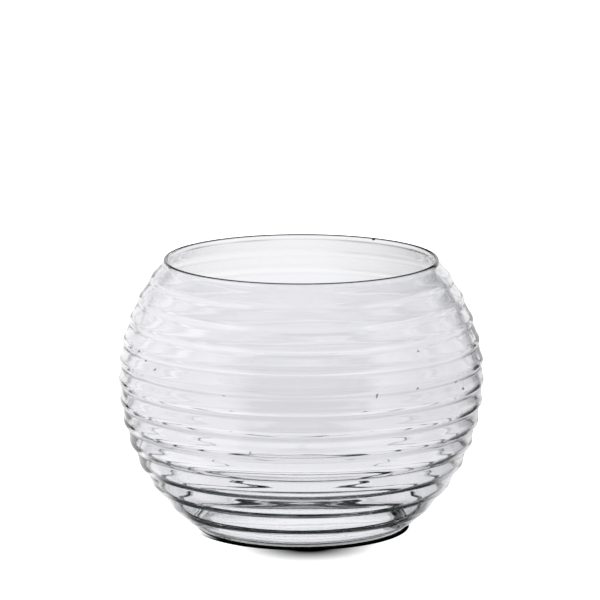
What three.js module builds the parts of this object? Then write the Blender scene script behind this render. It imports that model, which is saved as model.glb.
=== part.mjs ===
// A round clear glass vase, blown in a mould whose wall is turned with horizontal rings.
// Sizes are in millimetres. The vase stands on z = 0 with its axis on +Z.

import * as THREE from "three";

// Heights, from the table up
const footHeight = 10.7; // table to the lowest groove
const ringPitch = 11.267; // one ring, from groove to groove
const ringCount = 12;
const collarHeight = 4.1; // neck groove to the top of the lip
const bellyHeight = 86; // table to the widest part of the bowl

// Radii, and how far the two ends of the bowl draw in from its belly
const bellyRadius = 98.4; // bottoms of the grooves, measured at the belly
const footInset = 35.4; // lowest groove, inside the belly
const neckInset = 23.2; // neck groove, inside the belly
const collarInset = 0.4; // lip, inside the neck groove
const bowlFullness = 1.87; // 2 is a true ellipse, less draws in sooner on the way to the poles

// Relief of the mould, deep and crisp at the foot, melted soft further up
const footRingDepth = 2.4; // crest of the lowest ring over its grooves
const neckRingDepth = 1.2; // crest of the highest ring over its grooves
const footCrest = 0.15; // share of the lowest ring at which its crest stands, like a ledge
const ringLean = 0.7; // melted rings: 0 puts the crest midway between its grooves, more lower
const crispSoftness = 1; // 1 leaves the grooves as sharp creases
const meltedSoftness = 2; // 2 rounds the grooves as much as the crests
const meltedBy = 0.4; // share of the climb from the foot at which the rings have melted soft
const innerFollow = 1; // share of the relief which shows on the inside of the wall

// Glass thickness
const bellyWall = 2; // at the belly
const wallGain = 1.5; // how much more the wall has towards the poles of the bowl
const lipWall = 2.6;
const floorThickness = 3.4; // table to the inside floor

// Foot and floor
const footRadius = 60.2; // side of the foot, above its rounded heel
const heelRadius = 2; // rounding between the side of the foot and its face
const footSwell = 2.4; // how far the side of the foot bows out on its way to the lowest groove
const footRingWidth = 5; // flat ring that the vase rests on
const puntHeight = 0.8; // hollow under the middle of the foot
const innerCornerRadius = 61.6; // where the inner wall would meet the floor, but for its rounding
const floorCornerReach = 7; // how far that rounding runs in over the floor

// Steps of the outline and of the turn
const outerSteps = 5;
const innerSteps = 4;
const curveSteps = 4;
const turnSteps = 48;
const grooveCrowding = 1.6; // 1 spreads the steps of a ring evenly, more draws them to its ledge

// Heights and radii that follow from the sizes above
const neckHeight = footHeight + ringCount * ringPitch;
const vaseHeight = neckHeight + collarHeight;
const footGrooveRadius = bellyRadius - footInset;
const neckGrooveRadius = bellyRadius - neckInset;

// Half height of the ellipse-like curve that leaves the belly and passes through one end groove
function reachThrough(endHeight, endRadius) {
  const across = (endRadius / bellyRadius) ** bowlFullness;
  return Math.abs(endHeight - bellyHeight) / (1 - across) ** (1 / bowlFullness);
}

const reachDown = reachThrough(footHeight, footGrooveRadius);
const reachUp = reachThrough(neckHeight, neckGrooveRadius);

// Height above the belly, as a share of the bowl's reach: -1 to 1
function shareOfReach(height) {
  const rise = height - bellyHeight;
  return rise / (rise < 0 ? reachDown : reachUp);
}

// The point of the bowl's curve at a height, moved out along the curve's normal by an offset
function bowlPoint(height, offset) {
  const share = shareOfReach(height);
  const radius = bellyRadius * (1 - Math.abs(share) ** bowlFullness) ** (1 / bowlFullness);
  const reach = share < 0 ? reachDown : reachUp;
  const normal = new THREE.Vector2(
    (radius / bellyRadius) ** (bowlFullness - 1) / bellyRadius,
    (Math.sign(share) * Math.abs(share) ** (bowlFullness - 1)) / reach,
  ).normalize();
  return new THREE.Vector2(radius, height).addScaledVector(normal, offset);
}

// Glass between the outer grooves and the inside, thinnest at the belly where it was blown furthest
function wallAt(height) {
  return bellyWall + wallGain * shareOfReach(height) ** 2;
}

// How far the mould's rings stand out: each has a steep lower side, a low crest and a long upper side
function reliefAt(climb, ringShare) {
  const depth = THREE.MathUtils.lerp(footRingDepth, neckRingDepth, climb);
  const melt = Math.min(climb / meltedBy, 1);
  const softness = THREE.MathUtils.lerp(crispSoftness, meltedSoftness, melt);
  const crisp = Math.PI * ringShare ** (Math.log(0.5) / Math.log(footCrest));
  const lead = (ringLean * (1 - Math.cos(2 * Math.PI * ringShare))) / 2;
  const phase = THREE.MathUtils.lerp(crisp, Math.PI * ringShare + lead, melt);
  return depth * Math.max(Math.sin(phase), 0) ** softness;
}

// Outline of the rings from the lowest groove up; the surface is a function of height and relief
function followRings(steps, surface) {
  const points = [surface(footHeight, 0)];
  for (let ring = 0; ring < ringCount; ring += 1) {
    for (let i = 1; i <= steps; i += 1) {
      const ringShare = (i / steps) ** grooveCrowding;
      const height = footHeight + (ring + ringShare) * ringPitch;
      points.push(surface(height, reliefAt((ring + ringShare) / ringCount, ringShare)));
    }
  }
  return points;
}

function outerSurface(height, relief) {
  return bowlPoint(height, relief);
}

function innerSurface(height, relief) {
  return bowlPoint(height, innerFollow * relief - wallAt(height));
}

// Underside and foot: hollow punt, flat ring, rounded heel and bowed side, up to the lowest groove
function footOutline() {
  const faceRadius = footRadius - heelRadius;
  const puntRadius = faceRadius - footRingWidth;
  const punt = new THREE.QuadraticBezierCurve(
    new THREE.Vector2(0, puntHeight),
    new THREE.Vector2(puntRadius / 2, puntHeight),
    new THREE.Vector2(puntRadius, 0),
  );
  const heel = new THREE.EllipseCurve(
    faceRadius, heelRadius, heelRadius, heelRadius, -Math.PI / 2, 0, false,
  );
  const sideStart = new THREE.Vector2(footRadius, heelRadius);
  const sideEnd = new THREE.Vector2(footGrooveRadius, footHeight);
  const along = sideEnd.clone().sub(sideStart).normalize();
  const outward = new THREE.Vector2(along.y, -along.x);
  const bow = sideStart.clone().lerp(sideEnd, 0.5).addScaledVector(outward, footSwell);
  const side = new THREE.QuadraticBezierCurve(sideStart, bow, sideEnd);
  return [
    ...punt.getPoints(curveSteps),
    ...heel.getPoints(curveSteps),
    ...side.getPoints(curveSteps).slice(1, -1),
  ];
}

// Lip: a fire-rounded half circle on top of the collar, from its outside to its inside
function lipOutline() {
  const bead = lipWall / 2;
  const lipRadius = neckGrooveRadius - collarInset;
  const top = new THREE.EllipseCurve(
    lipRadius - bead, vaseHeight - bead, bead, bead, 0, Math.PI, false,
  );
  const outerStart = new THREE.Vector2(lipRadius, (neckHeight + vaseHeight - bead) / 2);
  const innerEnd = new THREE.Vector2(lipRadius - lipWall, neckHeight);
  return [outerStart, ...top.getPoints(curveSteps), innerEnd];
}

// Inside corner and floor, from the foot of the inner wall to the axis
function floorOutline(wallFoot) {
  const corner = new THREE.QuadraticBezierCurve(
    wallFoot,
    new THREE.Vector2(innerCornerRadius, floorThickness),
    new THREE.Vector2(innerCornerRadius - floorCornerReach, floorThickness),
  );
  return [...corner.getPoints(curveSteps).slice(1), new THREE.Vector2(0, floorThickness)];
}

// The whole section, from the middle of the underside round to the middle of the inside floor
function vaseOutline() {
  const inner = followRings(innerSteps, innerSurface);
  const floor = floorOutline(inner[0]);
  return [
    ...footOutline(),
    ...followRings(outerSteps, outerSurface),
    ...lipOutline(),
    ...inner.reverse(),
    ...floor,
  ];
}

function makeVase() {
  const geometry = new THREE.LatheGeometry(vaseOutline(), turnSteps);
  geometry.rotateX(Math.PI / 2);
  const clearGlass = new THREE.MeshStandardMaterial({
    color: 0xeef3f1,
    roughness: 0.04,
    metalness: 0,
    transparent: true,
    opacity: 0.35,
  });
  const mesh = new THREE.Mesh(geometry, clearGlass);
  mesh.name = "vase_body";
  return mesh;
}

const roundVase = new THREE.Group();
roundVase.add(makeVase());

export default roundVase;
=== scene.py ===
"""A round clear glass vase with moulded rings, standing on a white table. Sizes are in metres."""

import math

import bpy
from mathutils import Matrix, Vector


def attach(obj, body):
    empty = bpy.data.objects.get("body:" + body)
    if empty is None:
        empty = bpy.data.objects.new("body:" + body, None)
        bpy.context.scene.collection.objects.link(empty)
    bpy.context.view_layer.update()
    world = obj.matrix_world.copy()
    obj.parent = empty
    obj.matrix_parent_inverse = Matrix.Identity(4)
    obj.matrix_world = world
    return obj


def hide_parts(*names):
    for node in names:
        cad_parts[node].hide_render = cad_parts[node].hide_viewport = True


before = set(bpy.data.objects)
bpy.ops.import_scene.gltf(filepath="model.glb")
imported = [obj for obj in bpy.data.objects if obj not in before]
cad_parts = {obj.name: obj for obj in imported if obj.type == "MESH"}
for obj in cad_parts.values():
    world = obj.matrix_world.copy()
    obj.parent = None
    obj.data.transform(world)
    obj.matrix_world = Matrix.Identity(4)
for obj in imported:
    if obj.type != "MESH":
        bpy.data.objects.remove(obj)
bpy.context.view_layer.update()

MM = 0.001

# Heights of the vase, from the table up
FOOT_HEIGHT = 11.5 * MM
RING_PITCH = 11.2 * MM
RINGS = 12
COLLAR_HEIGHT = 2.8 * MM
BELLY_HEIGHT = 86 * MM

# Radii, and how far the two ends of the bowl draw in from its belly
BELLY_RADIUS = 98.4 * MM
FOOT_INSET = 31 * MM
NECK_INSET = 23.2 * MM
COLLAR_INSET = 0.4 * MM
UPPER_FULLNESS = 1.87
LOWER_FULLNESS = 2.1

# Relief of the mould: crisp and deep at the foot, melted soft and shallow at the neck
FOOT_RING_DEPTH = 1.8 * MM
NECK_RING_DEPTH = 0.72 * MM
FOOT_CREST = 0.1
RING_LEAN = 0.7
MELTED_BY = 0.4
INNER_FOLLOW = 1.0
CRISP_SOFTNESS = 1.0
MELTED_SOFTNESS = 2.0

# Glass thickness: even from the lip down to the belly, then more towards the foot
BELLY_WALL = 1.8 * MM
WALL_GAIN = 0.8 * MM
LIP_WALL = 1.8 * MM
FLOOR_THICKNESS = 2.8 * MM

# Foot and floor of the vase
FOOT_RADIUS = 58.8 * MM
HEEL_RADIUS = 3.5 * MM
FOOT_SWELL = 3 * MM
FOOT_RING_WIDTH = 5 * MM
PUNT_HEIGHT = 0.8 * MM
INNER_CORNER_RADIUS = 61.6 * MM
FLOOR_CORNER_REACH = 9 * MM

# Waves that blowing leaves in the wall
WAVE_SIZE = 55 * MM
OUTER_WAVE = 0.1 * MM
INNER_WAVE = 0.35 * MM
WAVE_SEED = 3
INNER_SEED_STEP = 10  # added to the seed for the inside, so that the two surfaces differ
WAVE_DETAIL = 1.0
NOISE_SPREAD = 4  # brings the noise's spread about its middle up to the wave's height

# Seeds and tool marks: degrees round from the front, height, width and tallness in millimetres
SPECKS = (
    (-64.6, 105.2, 1.8, 1.1),
    (-59.6, 101.8, 1.6, 1.1),
    (-53.7, 98.6, 1.4, 1.0),
    (-24.7, 91.2, 1.0, 0.9),
    (41.6, 111.2, 1.2, 1.0),
    (57.6, 91.0, 1.6, 1.2),
    (62.0, 86.0, 1.8, 1.3),
    (38.9, 92.6, 1.2, 1.0),
    (24.0, 91.2, 0.9, 4.4),
    (-16.2, 60.8, 0.9, 2.6),
    (50.2, 25.4, 1.5, 1.2),
    (147.0, 148.1, 3.2, 1.6),
)
SPECK_RELIEF = 0.5 * MM

GLASS_COLOUR = (0.95, 0.95, 0.97, 1)
GLASS_IOR = 1.5

# Steps of the outline and of the turn
OUTER_STEPS = 18
INNER_STEPS = 11
GROOVE_CROWDING = 1.6
CURVE_STEPS = 10
TURN_STEPS = 232
SEAM_WELD = 0.01 * MM  # closer points are joined, at the seam of the turn and at both poles

# Heights and radii that follow from the sizes above
NECK_HEIGHT = FOOT_HEIGHT + RINGS * RING_PITCH
VASE_HEIGHT = NECK_HEIGHT + COLLAR_HEIGHT
FOOT_GROOVE_RADIUS = BELLY_RADIUS - FOOT_INSET
NECK_GROOVE_RADIUS = BELLY_RADIUS - NECK_INSET

# Camera: where it stands, and the point on which it is aimed
CAMERA_TARGET = Vector((0, 0, 82.5 * MM))
CAMERA_DISTANCE = 2.7285
CAMERA_ELEVATION = math.radians(11.83)
CAMERA_AIM = Vector((-0.65 * MM, 0, 125.5 * MM))
CAMERA_LENS = 300
SENSOR_WIDTH = 36
CAMERA_CLIP = 100

# Colours and levels of the studio
WHITE = (1, 1, 1, 1)
DARK_COLOUR = (0.006, 0.014, 0.011, 1)
WORLD_LEVEL = 0.8

# White table, which to rays inside the glass is painted dim where they come down on it steeply, and bright
# at a glancing angle like a reflection of the white wall
TABLE_RADIUS = 8
TABLE_SIDES = 96
TABLE_COLOUR = (0.8, 0.8, 0.8, 1)
TABLE_BRIGHT_FACING = 0.66
TABLE_DIM_FACING = 0.4
TABLE_DIMMING = 0.98
TABLE_LEVEL = 1.05
# Painted light: to rays in the glass the table inside the foot ring glows brighter than white, a pool of
# light under the vase
PAINTED_GLOW_LEVEL = 1.3

# Painted bright strip of the table, as parts of a direction's length from a point in front of the vase
STRIP_POINT = Vector((0, -0.25, 0))
STRIP_EDGE = 0.895
STRIP_EDGE_END = 0.855
STRIP_SIDE = 0.65
STRIP_SIDE_END = 0.56

# Painted soft shadow of the vase on the table, behind it and to its right
SHADOW_START = 0.14
SHADOW_DEEPEST = 0.27
SHADOW_END = 0.65
SHADOW_LEVEL = 0.84
SHADOW_RIGHT_START = 0.0
SHADOW_RIGHT_END = 0.15
SHADOW_RIGHT_LEVEL = 0.79

# Painted shade in front of the foot, and the painted dark line under its ring, which the painted light
# reaches from one side
SHADE_CENTRE = Vector((4 * MM, -50 * MM, 0))
SHADE_DARK = 12 * MM
SHADE_END = 42 * MM
CONTACT_INSIDE = 53 * MM
CONTACT_OUTSIDE = 59.8 * MM
CONTACT_BLUR = 1 * MM
CONTACT_LIGHT_WAY = Vector((-0.7071, 0.7071, 0))
CONTACT_LIT_START = 5 * MM
CONTACT_LIT_END = 35 * MM

# Edges of the white wall and the softboxes, as parts of a direction's length: full white, then dark
WALL_TOP = 0.2
WALL_TOP_END = 0.36
WALL_WAY = Vector((-0.052, 0.9986, 0))
WALL_SIDE = 0.85
WALL_SIDE_END = 0.78
LEFT_BOX = -0.7
LEFT_BOX_END = -0.45
RIGHT_BOX = 0.75
RIGHT_BOX_END = 0.62
BOX_TOP = 0.5
BOX_TOP_END = 0.65
RIGHT_BOX_FOOT = 0.0
RIGHT_BOX_FOOT_END = -0.1


def add(tree, kind, inputs=None, **settings):
    """A node with its settings, and its inputs set to values or linked from sockets."""
    node = tree.nodes.new(kind)
    for name, value in settings.items():
        setattr(node, name, value)
    for name, value in (inputs or {}).items():
        socket = node.inputs[name]
        if isinstance(value, bpy.types.NodeSocket):
            tree.links.new(value, socket)
        else:
            socket.default_value = value
    return node


def maths(tree, operation, *values):
    """The output of a Math node over numbers or sockets."""
    inputs = dict(enumerate(values))
    return add(tree, "ShaderNodeMath", inputs, operation=operation).outputs[0]


def measured(tree, operation, *vectors):
    """The number that a Vector Math node gives, such as a length, a distance or a dot product."""
    inputs = dict(enumerate(vectors))
    return add(tree, "ShaderNodeVectorMath", inputs, operation=operation).outputs["Value"]


def vector_maths(tree, operation, *vectors):
    """The vector that a Vector Math node gives."""
    inputs = dict(enumerate(vectors))
    return add(tree, "ShaderNodeVectorMath", inputs, operation=operation).outputs["Vector"]


def scaled(tree, vector, factor):
    inputs = {"Vector": vector, "Scale": factor}
    return add(tree, "ShaderNodeVectorMath", inputs, operation="SCALE").outputs["Vector"]


def own_place(tree):
    """Where a point lies, in the object's own metres."""
    return add(tree, "ShaderNodeTexCoord").outputs["Object"]


def emission(tree, colour, level):
    return add(tree, "ShaderNodeEmission", {"Color": colour, "Strength": level}).outputs[0]


def mixed_shaders(tree, factor, at_zero, at_one):
    return add(tree, "ShaderNodeMixShader", {0: factor, 1: at_zero, 2: at_one}).outputs[0]


def smooth_step(tree, value, low, high):
    """0 below one value and 1 above the other, with a soft change between; the two may be swapped."""
    inputs = {"Value": value, "From Min": low, "From Max": high}
    return add(tree, "ShaderNodeMapRange", inputs, interpolation_type="SMOOTHSTEP").outputs[0]


def reach_through(end_height, end_radius, fullness):
    """Half height of the bowl's curve that leaves the belly and passes through one end groove."""
    across = (end_radius / BELLY_RADIUS) ** fullness
    return abs(end_height - BELLY_HEIGHT) / (1 - across) ** (1 / fullness)


REACH_DOWN = reach_through(FOOT_HEIGHT, FOOT_GROOVE_RADIUS, LOWER_FULLNESS)
REACH_UP = reach_through(NECK_HEIGHT, NECK_GROOVE_RADIUS, UPPER_FULLNESS)


def bowl_point(height):
    """Point and outward normal of the bowl's plain curve, and its share of the reach from the belly."""
    below = height < BELLY_HEIGHT
    reach = REACH_DOWN if below else REACH_UP
    fullness = LOWER_FULLNESS if below else UPPER_FULLNESS
    share = (height - BELLY_HEIGHT) / reach
    radius = BELLY_RADIUS * (1 - abs(share) ** fullness) ** (1 / fullness)
    normal = Vector((
        (radius / BELLY_RADIUS) ** (fullness - 1) / BELLY_RADIUS,
        math.copysign(abs(share) ** (fullness - 1) / reach, share),
    )).normalized()
    return Vector((radius, height)), normal, share


def wall_at(share):
    """Thickness of the wall at a share of the reach, which is less than 0 below the belly."""
    return BELLY_WALL + WALL_GAIN * min(share, 0) ** 2


class Outline:
    """The vase's section as points with what the rings and waves need to know at each of them."""

    def __init__(self):
        self.points = []
        self.pushes = []
        self.ring_shares = []
        self.climbs = []
        self.inside = []

    def add(self, point, push=(0, 0), ring_share=0, climb=0, inside=0):
        self.points.append((point[0], 0, point[1]))
        self.pushes.append((push[0], 0, push[1]))
        self.ring_shares.append(ring_share)
        self.climbs.append(climb)
        self.inside.append(inside)

    def add_bezier(self, start, corner, end, inside=0):
        for i in range(CURVE_STEPS + 1):
            t = i / CURVE_STEPS
            point = (1 - t) ** 2 * Vector(start) + 2 * t * (1 - t) * Vector(corner) + t**2 * Vector(end)
            self.add(point, inside=inside)

    def add_arc(self, centre, radius, start, end):
        for i in range(CURVE_STEPS + 1):
            angle = start + (end - start) * i / CURVE_STEPS
            self.add((centre[0] + radius * math.cos(angle), centre[1] + radius * math.sin(angle)))

    def add_wall(self, steps, inside):
        """The ringed bowl, up its outside or down its inside, with closer points near each groove."""
        places = [(ring, (i / steps) ** GROOVE_CROWDING) for ring in range(RINGS) for i in range(steps)]
        places.append((RINGS - 1, 1))
        for ring, share in reversed(places) if inside else places:
            point, normal, reach_share = bowl_point(FOOT_HEIGHT + RING_PITCH * (ring + share))
            if inside:
                point = point - normal * wall_at(reach_share)
            self.add(point, normal, share, (ring + share) / RINGS, inside)


def vase_outline():
    """From the middle of the underside round to the middle of the inside floor."""
    face_radius = FOOT_RADIUS - HEEL_RADIUS
    punt_radius = face_radius - FOOT_RING_WIDTH
    lip_radius = NECK_GROOVE_RADIUS - COLLAR_INSET
    bead = LIP_WALL / 2
    outline = Outline()
    outline.add_bezier((0, PUNT_HEIGHT), (punt_radius / 2, PUNT_HEIGHT), (punt_radius, 0))
    outline.add_arc((face_radius, HEEL_RADIUS), HEEL_RADIUS, -math.pi / 2, 0)
    foot_slope = (FOOT_GROOVE_RADIUS - FOOT_RADIUS) / (FOOT_HEIGHT - HEEL_RADIUS)
    swell = Vector((1, -foot_slope)).normalized() * FOOT_SWELL
    foot_middle = Vector((FOOT_RADIUS + FOOT_GROOVE_RADIUS, HEEL_RADIUS + FOOT_HEIGHT)) / 2
    outline.add_bezier((FOOT_RADIUS, HEEL_RADIUS), foot_middle + swell, (FOOT_GROOVE_RADIUS, FOOT_HEIGHT))
    outline.add_wall(OUTER_STEPS, 0)
    outline.add((lip_radius, (NECK_HEIGHT + VASE_HEIGHT - bead) / 2))
    outline.add_arc((lip_radius - bead, VASE_HEIGHT - bead), bead, 0, math.pi)
    outline.add((lip_radius - LIP_WALL, NECK_HEIGHT), inside=1)
    outline.add_wall(INNER_STEPS, 1)
    wall_foot = (outline.points[-1][0], outline.points[-1][2])
    corner = (INNER_CORNER_RADIUS, FLOOR_THICKNESS)
    corner_end = INNER_CORNER_RADIUS - FLOOR_CORNER_REACH
    outline.add_bezier(wall_foot, corner, (corner_end, FLOOR_THICKNESS), inside=1)
    outline.add((corner_end / 2, FLOOR_THICKNESS), inside=1)
    outline.add((0, FLOOR_THICKNESS), inside=1)
    return outline


def outline_object(outline):
    """The section as a mesh of loose points in order, with its values as attributes."""
    mesh = bpy.data.meshes.new("vase_outline")
    mesh.from_pydata(outline.points, [], [])
    for name, values in (
        ("ring_share", outline.ring_shares),
        ("climb", outline.climbs),
        ("inside", outline.inside),
    ):
        mesh.attributes.new(name, "FLOAT", "POINT").data.foreach_set("value", values)
    pushes = [part for push in outline.pushes for part in push]
    mesh.attributes.new("push", "FLOAT_VECTOR", "POINT").data.foreach_set("vector", pushes)
    section = bpy.data.objects.new("vase_body_glass", mesh)
    bpy.context.scene.collection.objects.link(section)
    return section


def named_attribute(tree, name, kind="FLOAT"):
    return add(tree, "GeometryNodeInputNamedAttribute", {"Name": name}, data_type=kind).outputs["Attribute"]


def mixed(tree, factor, at_zero, at_one):
    return add(tree, "ShaderNodeMix", {"Factor": factor, "A": at_zero, "B": at_one}).outputs[0]


def add_relief(tree, sizes):
    """How far a ring stands out: a ledge low over a crease, melting into a wave that leans down."""
    climb = named_attribute(tree, "climb")
    share = named_attribute(tree, "ring_share")
    depth = mixed(tree, climb, sizes["Foot Ring Depth"], sizes["Neck Ring Depth"])
    melt = maths(tree, "MINIMUM", maths(tree, "DIVIDE", climb, sizes["Melted By"]), 1.0)
    softness = mixed(tree, melt, sizes["Crisp Softness"], sizes["Melted Softness"])
    bend = maths(tree, "LOGARITHM", 0.5, sizes["Foot Crest"])
    crisp = maths(tree, "MULTIPLY", maths(tree, "POWER", share, bend), math.pi)
    swing = maths(tree, "COSINE", maths(tree, "MULTIPLY", share, 2 * math.pi))
    lead = maths(tree, "MULTIPLY", maths(tree, "SUBTRACT", 1.0, swing), sizes["Ring Lean"])
    melted = maths(tree, "ADD", maths(tree, "MULTIPLY", share, math.pi), maths(tree, "DIVIDE", lead, 2))
    wave = maths(tree, "MAXIMUM", maths(tree, "SINE", mixed(tree, melt, crisp, melted)), 0)
    follow = mixed(tree, named_attribute(tree, "inside"), 1.0, sizes["Inner Follow"])
    relief = maths(tree, "MULTIPLY", maths(tree, "POWER", wave, softness), depth)
    return maths(tree, "MULTIPLY", relief, follow)


def ringed_turn():
    """Geometry nodes that press the rings into a section, turn it about +Z and add the waves."""
    tree = bpy.data.node_groups.new("ringed_turn", "GeometryNodeTree")
    face = tree.interface
    face.new_socket("Section", in_out="INPUT", socket_type="NodeSocketGeometry")
    for name, kind in (
        ("Turn Steps", "NodeSocketInt"),
        ("Foot Ring Depth", "NodeSocketFloat"),
        ("Neck Ring Depth", "NodeSocketFloat"),
        ("Foot Crest", "NodeSocketFloat"),
        ("Ring Lean", "NodeSocketFloat"),
        ("Melted By", "NodeSocketFloat"),
        ("Inner Follow", "NodeSocketFloat"),
        ("Crisp Softness", "NodeSocketFloat"),
        ("Melted Softness", "NodeSocketFloat"),
        ("Wave Size", "NodeSocketFloat"),
        ("Outer Wave", "NodeSocketFloat"),
        ("Inner Wave", "NodeSocketFloat"),
        ("Wave Seed", "NodeSocketFloat"),
        ("Glass", "NodeSocketMaterial"),
    ):
        face.new_socket(name, in_out="INPUT", socket_type=kind)
    face.new_socket("Vase", in_out="OUTPUT", socket_type="NodeSocketGeometry")
    sizes = tree.nodes.new("NodeGroupInput").outputs
    section = sizes["Section"]

    # Rings pressed out along the section's normals
    push = named_attribute(tree, "push", "FLOAT_VECTOR")
    relief = add_relief(tree, sizes)
    stand_out = scaled(tree, push, relief)
    ringed = add(tree, "GeometryNodeSetPosition", {"Geometry": section, "Offset": stand_out}).outputs[0]

    # A grid with one column of the section for each step of the turn
    count = add(tree, "GeometryNodeAttributeDomainSize", {"Geometry": section}).outputs["Point Count"]
    columns = maths(tree, "ADD", sizes["Turn Steps"], 1)
    grid = add(tree, "GeometryNodeMeshGrid", {"Vertices X": columns, "Vertices Y": count}).outputs["Mesh"]
    index = add(tree, "GeometryNodeInputIndex").outputs[0]
    row = maths(tree, "MODULO", index, count)
    column = maths(tree, "FLOOR", maths(tree, "DIVIDE", index, count))
    turn = maths(tree, "MULTIPLY", maths(tree, "DIVIDE", column, sizes["Turn Steps"]), 2 * math.pi)

    def from_section(value, kind):
        sampler = add(
            tree,
            "GeometryNodeSampleIndex",
            {"Geometry": ringed, "Value": value, "Index": row},
            data_type=kind,
            domain="POINT",
        )
        turned = sampler.outputs[0]
        if kind == "FLOAT_VECTOR":
            turned = add(
                tree,
                "ShaderNodeVectorRotate",
                {"Vector": turned, "Angle": turn},
                rotation_type="Z_AXIS",
            ).outputs[0]
        return turned

    place = from_section(add(tree, "GeometryNodeInputPosition").outputs[0], "FLOAT_VECTOR")
    outward = from_section(push, "FLOAT_VECTOR")
    inside = from_section(named_attribute(tree, "inside"), "FLOAT")

    # Waves along the outward direction, stronger on the free inner surface
    wave_scale = maths(tree, "DIVIDE", 1.0, sizes["Wave Size"])
    seed = maths(tree, "ADD", sizes["Wave Seed"], maths(tree, "MULTIPLY", inside, INNER_SEED_STEP))
    noise = add(
        tree,
        "ShaderNodeTexNoise",
        {"Vector": place, "W": seed, "Scale": wave_scale, "Detail": WAVE_DETAIL},
        noise_dimensions="4D",
    ).outputs["Fac"]
    height = mixed(tree, inside, sizes["Outer Wave"], sizes["Inner Wave"])
    spread = maths(tree, "MULTIPLY", height, NOISE_SPREAD)
    swing = maths(tree, "MULTIPLY", maths(tree, "SUBTRACT", noise, 0.5), spread)
    wave = scaled(tree, outward, swing)
    turned = add(
        tree, "GeometryNodeSetPosition", {"Geometry": grid, "Position": place, "Offset": wave}
    ).outputs[0]

    closed = add(tree, "GeometryNodeMergeByDistance", {"Geometry": turned, "Distance": SEAM_WELD}).outputs[0]
    real = add(tree, "GeometryNodeRealizeInstances", {"Geometry": closed}).outputs[0]
    smooth = add(tree, "GeometryNodeSetShadeSmooth", {"Geometry": real}).outputs[0]
    finished = add(
        tree, "GeometryNodeSetMaterial", {"Geometry": smooth, "Material": sizes["Glass"]}
    ).outputs[0]
    add(tree, "NodeGroupOutput", {"Vase": finished})
    return tree


def set_inputs(modifier, values):
    """Sets a Geometry Nodes modifier's inputs by their names."""
    for item in modifier.node_group.interface.items_tree:
        if item.in_out == "INPUT" and item.name in values:
            modifier[item.identifier] = values[item.name]


def speck_normals(tree):
    """Small seeds and tool marks in the glass: low bumps at their places round the bowl."""
    across, back, height = add(tree, "ShaderNodeSeparateXYZ", {0: own_place(tree)}).outputs
    turn = maths(tree, "ARCTAN2", across, maths(tree, "MULTIPLY", back, -1))
    unrolled = add(tree, "ShaderNodeCombineXYZ", {
        "X": maths(tree, "MULTIPLY", turn, BELLY_RADIUS),
        "Y": height,
    }).outputs[0]
    relief = 0.0
    for angle, speck_height, width, tallness in SPECKS:
        centre = Vector((math.radians(angle) * BELLY_RADIUS, speck_height * MM, 0))
        apart = vector_maths(tree, "SUBTRACT", unrolled, centre)
        per_half = Vector((2 / (width * MM), 2 / (tallness * MM), 0))
        reach = measured(tree, "LENGTH", vector_maths(tree, "MULTIPLY", apart, per_half))
        relief = maths(tree, "MAXIMUM", relief, smooth_step(tree, reach, 1.0, 0.0))
    bump = add(tree, "ShaderNodeBump", {"Height": relief, "Strength": 1.0, "Distance": SPECK_RELIEF})
    return bump.outputs["Normal"]


def clear_glass():
    material = bpy.data.materials.new("clear_glass")
    material.use_nodes = True
    tree = material.node_tree
    surface = tree.nodes["Principled BSDF"]
    surface.inputs["Base Color"].default_value = GLASS_COLOUR
    surface.inputs["Roughness"].default_value = 0.0
    surface.inputs["IOR"].default_value = GLASS_IOR
    surface.inputs["Transmission Weight"].default_value = 1.0
    tree.links.new(speck_normals(tree), surface.inputs["Normal"])
    return material


def make_vase(glass):
    vase = outline_object(vase_outline())
    modifier = vase.modifiers.new("ringed_turn", "NODES")
    modifier.node_group = ringed_turn()
    set_inputs(modifier, {
        "Turn Steps": TURN_STEPS,
        "Foot Ring Depth": FOOT_RING_DEPTH,
        "Neck Ring Depth": NECK_RING_DEPTH,
        "Foot Crest": FOOT_CREST,
        "Ring Lean": RING_LEAN,
        "Melted By": MELTED_BY,
        "Inner Follow": INNER_FOLLOW,
        "Crisp Softness": CRISP_SOFTNESS,
        "Melted Softness": MELTED_SOFTNESS,
        "Wave Size": WAVE_SIZE,
        "Outer Wave": OUTER_WAVE,
        "Inner Wave": INNER_WAVE,
        "Wave Seed": WAVE_SEED,
        "Glass": glass,
    })
    depsgraph = bpy.context.evaluated_depsgraph_get()
    turned = bpy.data.meshes.new_from_object(vase.evaluated_get(depsgraph))
    vase.modifiers.clear()
    vase.data = turned
    turned.name = vase.name
    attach(vase, "root")
    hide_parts("vase_body")
    return vase


def table_shade(tree):
    """Painted shade: how open the table is drawn to the light, from 0 under the foot ring and in the shade
    in front of it; and 1 inside that ring, else 0, the mask of the painted glow there.
    """
    place = own_place(tree)
    # Painted shade in front of the foot, darkest near its centre
    reach = measured(tree, "DISTANCE", place, SHADE_CENTRE)
    front = add(tree, "ShaderNodeMapRange", {0: reach, 1: SHADE_DARK, 2: SHADE_END}).outputs[0]
    radius = measured(tree, "LENGTH", place)
    past_ring = smooth_step(tree, radius, CONTACT_OUTSIDE - CONTACT_BLUR, CONTACT_OUTSIDE)
    before_ring = smooth_step(tree, radius, CONTACT_INSIDE, CONTACT_INSIDE - CONTACT_BLUR)
    outside = maths(tree, "MULTIPLY", past_ring, front)
    # The painted shade is drawn open on the side that the light is taken to come from
    toward_light = measured(tree, "DOT_PRODUCT", place, CONTACT_LIGHT_WAY)
    lit = smooth_step(tree, toward_light, CONTACT_LIT_START, CONTACT_LIT_END)
    painted_shade_open = maths(tree, "MAXIMUM", outside, before_ring)
    return maths(tree, "MAXIMUM", painted_shade_open, lit), before_ring


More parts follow.
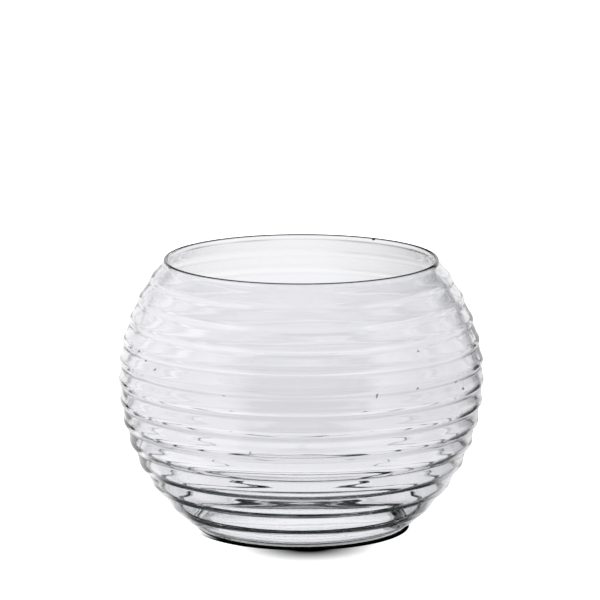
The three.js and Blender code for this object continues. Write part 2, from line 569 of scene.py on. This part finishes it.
def lit_strip(tree):
    """Painted light: 1 on the strip of table that runs back to the white wall, and far out to either side;
    else 0.
    """
    from_point = vector_maths(tree, "SUBTRACT", own_place(tree), STRIP_POINT)
    way = vector_maths(tree, "NORMALIZE", from_point)
    back = measured(tree, "DOT_PRODUCT", way, WALL_WAY)
    aside = maths(tree, "ABSOLUTE", add(tree, "ShaderNodeSeparateXYZ", {0: way}).outputs["X"])
    strip = smooth_step(tree, back, STRIP_EDGE_END, STRIP_EDGE)
    return maths(tree, "MAXIMUM", strip, smooth_step(tree, aside, STRIP_SIDE_END, STRIP_SIDE))


def shadow_behind(tree):
    """The painted soft shadow of the vase on the table, behind it and to the right: 1 in the open."""
    across, back, _ = add(tree, "ShaderNodeSeparateXYZ", {0: own_place(tree)}).outputs
    rise = smooth_step(tree, back, SHADOW_START, SHADOW_DEEPEST)
    fall = smooth_step(tree, back, SHADOW_END, SHADOW_DEEPEST)
    behind = mixed(tree, maths(tree, "MULTIPLY", rise, fall), 1.0, SHADOW_LEVEL)
    aside = smooth_step(tree, across, SHADOW_RIGHT_START, SHADOW_RIGHT_END)
    return maths(tree, "MULTIPLY", behind, mixed(tree, aside, 1.0, SHADOW_RIGHT_LEVEL))


def white_table():
    """Plain white in the open, with the painted shade at the foot; to rays in the glass, the painted light
    and shade that the lines are made of.
    """
    material = bpy.data.materials.new("white_table")
    material.use_nodes = True
    tree = material.node_tree
    tree.nodes.clear()
    rays = add(tree, "ShaderNodeLightPath").outputs
    seen_in_glass = maths(tree, "MAXIMUM", rays["Is Glossy Ray"], rays["Is Transmission Ray"])
    painted_shade_open, painted_glow_mask = table_shade(tree)
    plain = add(tree, "ShaderNodeBsdfDiffuse", {"Color": TABLE_COLOUR}).outputs[0]
    # To the camera, the table's diffuse part and its white glow both fall away in the painted shade at the
    # foot
    hidden = add(tree, "ShaderNodeMixShader", {0: painted_shade_open, 2: plain}).outputs[0]
    shaded = add(tree, "ShaderNodeAddShader", {0: hidden, 1: emission(tree, WHITE, painted_shade_open)}).outputs[0]
    # To rays in the glass: the painted bright strip, the painted shadow behind and the painted glow under
    # the foot
    lit_level = maths(tree, "MULTIPLY", lit_strip(tree), TABLE_LEVEL)
    lit_level = maths(tree, "MULTIPLY", lit_level, shadow_behind(tree))
    # Inside the foot ring the painted glow takes the place of the lit level
    level = maths(tree, "MULTIPLY", painted_shade_open, mixed(tree, painted_glow_mask, lit_level, PAINTED_GLOW_LEVEL))
    painted_light_and_shade = emission(tree, WHITE, level)
    # Painted reflection: to rays in the glass the table is bright at a glancing angle and dark where they
    # come down steeply
    facing = add(tree, "ShaderNodeLayerWeight", {"Blend": 0.5}).outputs["Facing"]
    from_above = smooth_step(tree, facing, TABLE_BRIGHT_FACING, TABLE_DIM_FACING)
    painted_steep_dimming = maths(tree, "MULTIPLY", from_above, TABLE_DIMMING)
    through_glass = mixed_shaders(tree, painted_steep_dimming, painted_light_and_shade, emission(tree, DARK_COLOUR, 1))
    direct = mixed_shaders(tree, rays["Is Camera Ray"], plain, shaded)
    shown = mixed_shaders(tree, seen_in_glass, direct, through_glass)
    add(tree, "ShaderNodeOutputMaterial", {"Surface": shown})
    return material


def make_table():
    angles = [2 * math.pi * i / TABLE_SIDES for i in range(TABLE_SIDES)]
    points = [(TABLE_RADIUS * math.cos(angle), TABLE_RADIUS * math.sin(angle), 0) for angle in angles]
    mesh = bpy.data.meshes.new("table")
    mesh.from_pydata(points, [], [range(TABLE_SIDES)])
    mesh.materials.append(white_table())
    table = bpy.data.objects.new("table", mesh)
    bpy.context.scene.collection.objects.link(table)


def make_camera():
    camera = bpy.data.cameras.new("camera")
    camera.lens = CAMERA_LENS
    camera.sensor_width = SENSOR_WIDTH
    camera.clip_end = CAMERA_CLIP
    stand = bpy.data.objects.new("camera", camera)
    away = Vector((0, -math.cos(CAMERA_ELEVATION), math.sin(CAMERA_ELEVATION)))
    stand.location = CAMERA_TARGET + CAMERA_DISTANCE * away
    stand.rotation_euler = (CAMERA_AIM - stand.location).to_track_quat("-Z", "Y").to_euler()
    bpy.context.scene.collection.objects.link(stand)
    bpy.context.scene.camera = stand


def background(tree, colour, level):
    return add(tree, "ShaderNodeBackground", {"Color": colour, "Strength": level}).outputs[0]


def white_of_studio(tree):
    """1 towards the white wall behind the vase and the softbox on either side of it, else 0."""
    way = add(tree, "ShaderNodeTexCoord").outputs["Generated"]
    across, _, up = add(tree, "ShaderNodeSeparateXYZ", {"Vector": way}).outputs
    back = measured(tree, "DOT_PRODUCT", way, WALL_WAY)
    under_wall_top = smooth_step(tree, up, WALL_TOP_END, WALL_TOP)
    wall = maths(tree, "MULTIPLY", under_wall_top, smooth_step(tree, back, WALL_SIDE_END, WALL_SIDE))
    under_box_top = smooth_step(tree, up, BOX_TOP_END, BOX_TOP)
    left_side = smooth_step(tree, across, LEFT_BOX_END, LEFT_BOX)
    left_box = maths(tree, "MULTIPLY", left_side, under_box_top)
    right_side = smooth_step(tree, across, RIGHT_BOX_END, RIGHT_BOX)
    over_box_foot = smooth_step(tree, up, RIGHT_BOX_FOOT_END, RIGHT_BOX_FOOT)
    right_height = maths(tree, "MULTIPLY", under_box_top, over_box_foot)
    right_box = maths(tree, "MULTIPLY", right_side, right_height)
    return maths(tree, "MAXIMUM", maths(tree, "MAXIMUM", wall, left_box), right_box)


def make_world():
    """A dark studio with white parts to rays in the glass, and plain white to the camera and the table."""
    world = bpy.data.worlds.new("studio")
    bpy.context.scene.world = world
    world.use_nodes = True
    tree = world.node_tree
    tree.nodes.clear()
    rays = add(tree, "ShaderNodeLightPath").outputs
    seen = maths(tree, "MAXIMUM", rays["Is Glossy Ray"], rays["Is Transmission Ray"])
    seen = maths(tree, "MULTIPLY", seen, maths(tree, "LESS_THAN", rays["Diffuse Depth"], 0.5))
    inputs = {"Factor": white_of_studio(tree), "A": DARK_COLOUR, "B": WHITE}
    colour = add(tree, "ShaderNodeMix", inputs, data_type="RGBA").outputs["Result"]
    plain = background(tree, WHITE, WORLD_LEVEL)
    unseen = mixed_shaders(tree, seen, plain, background(tree, colour, 1))
    shown = mixed_shaders(tree, rays["Is Camera Ray"], unseen, background(tree, WHITE, 1))
    add(tree, "ShaderNodeOutputWorld", {"Surface": shown})


glass = clear_glass()
make_vase(glass)
make_table()
make_camera()
make_world()
bpy.context.scene.view_settings.view_transform = "Standard"
